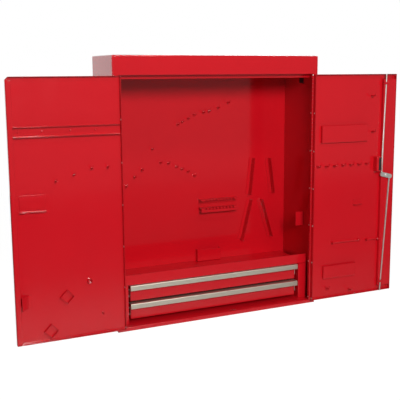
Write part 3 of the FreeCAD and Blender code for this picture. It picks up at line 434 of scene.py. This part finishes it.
# %% The hook tree
HOOK_WIDTH, HOOK_BAR = 3.0 * MM, 4.0 * MM
HOOK_REACH, HOOK_TURN_UP = 22.2 * MM, 8.2 * MM
ROOT_SINK = 0.5 * MM
TIP_SHARE, TAPER_FROM = 0.8, 0.3
HOOK_STEPS = 16
CORNER_RADIUS, CORNER_STEPS = 0.6 * MM, 3


def hook_tree():
    tree, given = new_tree("bent_hooks", {"Width": HOOK_WIDTH, "Thickness": HOOK_BAR, "Reach": HOOK_REACH,
                                          "Turn up": HOOK_TURN_UP, "Tip": TIP_SHARE})
    level = add(tree, "ShaderNodeCombineXYZ", {"Z": -ROOT_SINK})
    bend = add(tree, "ShaderNodeCombineXYZ", {"Z": given["Reach"]})
    rise = add(tree, "ShaderNodeCombineXYZ", {"Y": given["Turn up"], "Z": given["Reach"]})
    path = add(tree, "GeometryNodeCurvePrimitiveBezierSegment", {
        "Resolution": HOOK_STEPS, "Start": level.outputs[0], "Start Handle": bend.outputs[0],
        "End Handle": bend.outputs[0], "End": rise.outputs[0]}, mode="POSITION")
    along = add(tree, "GeometryNodeSplineParameter")
    taper = add(tree, "ShaderNodeMapRange", {"Value": along.outputs["Factor"], "From Min": TAPER_FROM,
                                             "To Min": 1.0, "To Max": given["Tip"]})
    section = add(tree, "GeometryNodeCurvePrimitiveQuadrilateral", {"Width": given["Width"],
                                                                    "Height": given["Thickness"]})
    rounded = add(tree, "GeometryNodeFilletCurve", {
        "Curve": section.outputs[0], "Radius": CORNER_RADIUS, "Count": CORNER_STEPS}, mode="POLY")
    tongue = add(tree, "GeometryNodeCurveToMesh", {
        "Curve": path.outputs[0], "Profile Curve": rounded.outputs[0], "Scale": taper.outputs["Result"],
        "Fill Caps": True})
    set_on_points(tree, given, tongue.outputs["Mesh"])
    return tree


bent_hooks = hook_tree()
print("nodes in the hook tree:", len(bent_hooks.nodes))

# %% [markdown]
# ## Set the hooks
# With both doors open, every hook faces the front. Its root is at the panel, half a bar above the packed
# hook's lower edge. All hooks are of one size.

# %% Hooks in their places
def hook_points(name):
    return [(Vector(((low.x + high.x) / 2, high.y, low.z + HOOK_BAR / 2)), (0, -1, 0))
            for low, high in hook_boxes[name]]


for name, body in (("back_hooks", "frame"), ("left_door_hooks", "left_door"),
                   ("right_door_hooks", "right_door")):
    dress(grow("bent_" + name, bent_hooks, hook_points(name), enamel), body, "red_paint", name)

# %% [markdown]
# ## The screw in the lock cam
# The cam sits on its spindle under a pan-head screw. The head is lathed: rings of vertices follow a profile
# from its seat to its crown. A cross is then cut into the crown with a boolean, as a punch would press it.

# %% Shapes for the screw
PAN_HEAD = ((0.96, 0.0), (1.0, 0.08), (1.0, 0.42), (0.95, 0.66), (0.82, 0.85), (0.6, 0.96), (0.3, 1.0))


def closed_prism(outline, depth_of):
    """A closed prism from an outline of (x, z) points; depth_of gives the two Y places."""
    shape = bmesh.new()
    rows = [[shape.verts.new((x, y, z)) for x, z in outline] for y in depth_of]
    shape.faces.new(rows[0])
    shape.faces.new(rows[1])
    for index in range(len(outline)):
        after = (index + 1) % len(outline)
        shape.faces.new((rows[0][index], rows[0][after], rows[1][after], rows[1][index]))
    bmesh.ops.recalc_face_normals(shape, faces=shape.faces)
    return shape


def lathed_head(centre, radius, seat, crown, sides=40):
    shape = bmesh.new()
    rows = []
    for wide, high in PAN_HEAD:
        y = seat + (crown - seat) * high
        rows.append([shape.verts.new((centre.x + radius * wide * math.cos(2 * math.pi * k / sides), y,
                                      centre.z + radius * wide * math.sin(2 * math.pi * k / sides)))
                     for k in range(sides)])
    for lower, upper in zip(rows, rows[1:]):
        for k in range(sides):
            shape.faces.new((lower[k], lower[(k + 1) % sides], upper[(k + 1) % sides], upper[k]))
    shape.faces.new(rows[0])
    shape.faces.new(rows[-1])
    bmesh.ops.recalc_face_normals(shape, faces=shape.faces)
    return shape


def object_from(shape, name):
    mesh = bpy.data.meshes.new(name)
    shape.to_mesh(mesh)
    shape.free()
    made = bpy.data.objects.new(name, mesh)
    bpy.context.scene.collection.objects.link(made)
    return made


print("rings in the screw head:", len(PAN_HEAD))

# %% [markdown]
# ## Press the cross
# The cross is one arm's three corners, turned by quarter turns around the middle of the head. Its size is a
# share of the head's radius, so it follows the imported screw.

# %% Cross-head screw
ARM_SHARE, HALF_SLOT_SHARE = 0.62, 0.14
PUNCH_ABOVE, PUNCH_BELOW = 1 * MM, 1.1 * MM

low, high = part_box("cam_screw")
middle = (low + high) / 2
radius = (high.x - low.x) / 2
arm, half_slot = radius * ARM_SHARE, radius * HALF_SLOT_SHARE
corners = [(half_slot, half_slot), (arm, half_slot), (arm, -half_slot)]
cross = []
for quarter in range(4):
    cross += [(middle.x + x, middle.z + z) for x, z in corners]
    corners = [(z, -x) for x, z in corners]
head = object_from(lathed_head(middle, radius, high.y, low.y), "screw_blank")
punch = object_from(closed_prism(cross, (low.y - PUNCH_ABOVE, low.y + PUNCH_BELOW)), "cross_punch")
pressed = head.modifiers.new("cross", "BOOLEAN")
pressed.object = punch
pressed.solver = "EXACT"
screw_mesh = bpy.data.meshes.new_from_object(head.evaluated_get(bpy.context.evaluated_depsgraph_get()))
for used in (head, punch):
    bpy.data.objects.remove(used)
screw = bpy.data.objects.new("cross_head_screw", screw_mesh)
bpy.context.scene.collection.objects.link(screw)
screw_mesh.materials.clear()
screw_mesh.materials.append(zinc)
dress(screw, "lock_cam", "zinc", "cam_screw")
print("screw head", len(screw_mesh.polygons), "faces")

# %% [markdown]
# ## Rods with rolled edges
# The lock rods are rolled bar, so their long edges are round and draw a bright line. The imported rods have
# sharp edges. A copy is welded, its flat triangles are joined into whole faces, and the long edges are
# bevelled.

# %% Lock rods
LONG_EDGE = 100 * MM
ROLL_RADIUS, ROLL_STEPS = 1.2 * MM, 4
FLAT_WITHIN = math.radians(1)


def rolled_bar(name, radius):
    shape = welded_copy(name)
    bmesh.ops.dissolve_limit(shape, angle_limit=FLAT_WITHIN, verts=shape.verts, edges=shape.edges)
    long_edges = [edge for edge in shape.edges if edge.calc_length() > LONG_EDGE]
    rolled = bmesh.ops.bevel(shape, geom=long_edges, offset=radius, segments=ROLL_STEPS, profile=0.5,
                             affect="EDGES")
    for face in rolled["faces"]:
        face.smooth = True
    print(name, len(long_edges), "edges rolled, closed:", all(edge.is_manifold for edge in shape.edges))
    return object_from(shape, "rolled_" + name)


for name in ("upper_rod", "lower_rod"):
    rod = rolled_bar(name, ROLL_RADIUS)
    rod.data.materials.append(zinc)
    dress(rod, name, "zinc", name)

# %% [markdown]
# ## The camera
# The camera stands in front of the cabinet and to its left, a little below the height of its top edge, and
# looks slightly down. Its place, turn and focal length come from the picture's own corners, for a frame of
# 400 by 400.

# %% Camera
FRAME_PIXELS = 400
FOCAL_PIXELS = 717.71
EYE = Vector((-880.24, -2090.79, 349.64)) * MM
YAW, PITCH, ROLL = (math.radians(angle) for angle in (24.4975, 9.0557, -0.2032))
CENTRE = (216.20, 183.92)

forward = Vector((math.sin(YAW) * math.cos(PITCH), math.cos(YAW) * math.cos(PITCH), -math.sin(PITCH)))
level = Vector((math.cos(YAW), -math.sin(YAW), 0))
upright = level.cross(forward)
across = level * math.cos(ROLL) + upright * math.sin(ROLL)
upward = upright * math.cos(ROLL) - level * math.sin(ROLL)
camera = bpy.data.objects.new("camera", bpy.data.cameras.new("camera"))
camera.data.sensor_width = 36.0
camera.data.lens = FOCAL_PIXELS / FRAME_PIXELS * camera.data.sensor_width
camera.data.shift_x = 0.5 - CENTRE[0] / FRAME_PIXELS
camera.data.shift_y = CENTRE[1] / FRAME_PIXELS - 0.5
camera.matrix_world = Matrix.Translation(EYE) @ Matrix((across, upward, -forward)).transposed().to_4x4()
bpy.context.scene.collection.objects.link(camera)
bpy.context.scene.camera = camera
print("lens", round(camera.data.lens, 2), "mm")

# %% [markdown]
# ## Lamps
# One soft lamp in front of the cabinet and above it does most of the work: what faces the front is bright,
# and the side faces of hooks and racks stay dark. A small lamp high in front lifts what faces upward, such as
# the tray and the pulls. A lamp on the left, behind the plane of the doors, lights the cabinet's side and no
# face that looks to the front. One behind on the right lights the back.

# %% Lamps
def soft_lamp(name, place, aim, size, watts):
    lamp = bpy.data.lights.new(name, "AREA")
    lamp.shape = "DISK"
    lamp.size = size
    lamp.energy = watts
    holder = bpy.data.objects.new(name, lamp)
    holder.location = place
    holder.rotation_euler = (Vector(aim) - Vector(place)).to_track_quat("-Z", "Y").to_euler()
    bpy.context.scene.collection.objects.link(holder)


soft_lamp("key_lamp", (-0.35, -3.1, 1.15), (-0.1, -0.1, 0.1), size=0.9, watts=78)
soft_lamp("top_lamp", (0.6, -1.8, 2.3), (0, -0.2, 0.3), size=0.35, watts=12)
soft_lamp("left_lamp", (-2.2, 0.4, 0.6), (-0.3, -0.1, 0.35), size=1.2, watts=13)
soft_lamp("right_back_lamp", (1.6, 3.0, 1.2), (0, 0, 0), size=1.4, watts=60)
print("lamps", [lamp.name for lamp in bpy.data.lights])

# %% [markdown]
# ## Background
# The camera sees the world as plain white. As light it is weak, because a strong even light would fill the
# shadows inside the cabinet. Shiny metal and paint see white behind the cabinet and a dim room in front of
# it. The view transform is Standard, so white stays white.

# %% World
FILL = 0.05
ROOM_IN_FRONT, ROOM_BEHIND = 0.24, 1.0
FRONT_ENDS, BACK_STARTS = -0.3, 0.4

bpy.context.scene.view_settings.view_transform = "Standard"
world = bpy.data.worlds.new("studio")
bpy.context.scene.world = world
world.use_nodes = True
tree = world.node_tree
tree.nodes.clear()
ray = add(tree, "ShaderNodeLightPath")
toward = add(tree, "ShaderNodeSeparateXYZ", {0: add(tree, "ShaderNodeTexCoord").outputs["Generated"]})
room = add(tree, "ShaderNodeMapRange", {
    "Value": toward.outputs["Y"], "From Min": FRONT_ENDS, "From Max": BACK_STARTS,
    "To Min": ROOM_IN_FRONT, "To Max": ROOM_BEHIND})
shine = add(tree, "ShaderNodeMix", {"Factor": ray.outputs["Is Glossy Ray"], "A": FILL,
                                    "B": room.outputs["Result"]}, data_type="FLOAT")
seen = add(tree, "ShaderNodeMath", {0: ray.outputs["Is Camera Ray"], 1: ray.outputs["Is Transmission Ray"]},
           operation="MAXIMUM")
strength = add(tree, "ShaderNodeMath", {0: shine.outputs["Result"], 1: seen.outputs[0]},
               operation="MAXIMUM")
sky = add(tree, "ShaderNodeBackground", {"Color": linear("#FFFFFF"), "Strength": strength.outputs[0]})
add(tree, "ShaderNodeOutputWorld", {"Surface": sky.outputs[0]})
print("world nodes", len(tree.nodes))

# %% [markdown]
# ## Floor
# A wall cabinet hangs well clear of the floor, so the floor lies far below. It is pale, and for the camera a
# white glow is mixed in, so it meets the background without a line and still keeps a faint shadow.

# %% Floor
FLOOR_LEVEL, FLOOR_HALF = -1.35, 8.0
GLOW, GLOW_SHARE = 1.12, 0.88

floor_mesh = bpy.data.meshes.new("floor")
shape = bmesh.new()
bmesh.ops.create_grid(shape, x_segments=1, y_segments=1, size=FLOOR_HALF,
                      matrix=Matrix.Translation((0, 0, FLOOR_LEVEL)))
shape.to_mesh(floor_mesh)
shape.free()
floor = bpy.data.objects.new("floor", floor_mesh)
bpy.context.scene.collection.objects.link(floor)
pale, tree, shader, place = new_material("pale_floor", {"Base Color": linear("#F2F2F0"), "Roughness": 0.9})
glow = add(tree, "ShaderNodeEmission", {"Color": linear("#FFFFFF"), "Strength": GLOW})
watched = add(tree, "ShaderNodeMath", {0: add(tree, "ShaderNodeLightPath").outputs["Is Camera Ray"],
                                       1: GLOW_SHARE}, operation="MULTIPLY")
both = add(tree, "ShaderNodeMixShader", {0: watched.outputs[0], 1: shader.outputs["BSDF"],
                                         2: glow.outputs[0]})
surface = next(node for node in tree.nodes if node.bl_idname == "ShaderNodeOutputMaterial")
link(tree, both.outputs[0], surface, "Surface")
floor_mesh.materials.append(pale)
print("floor at", FLOOR_LEVEL, "m")
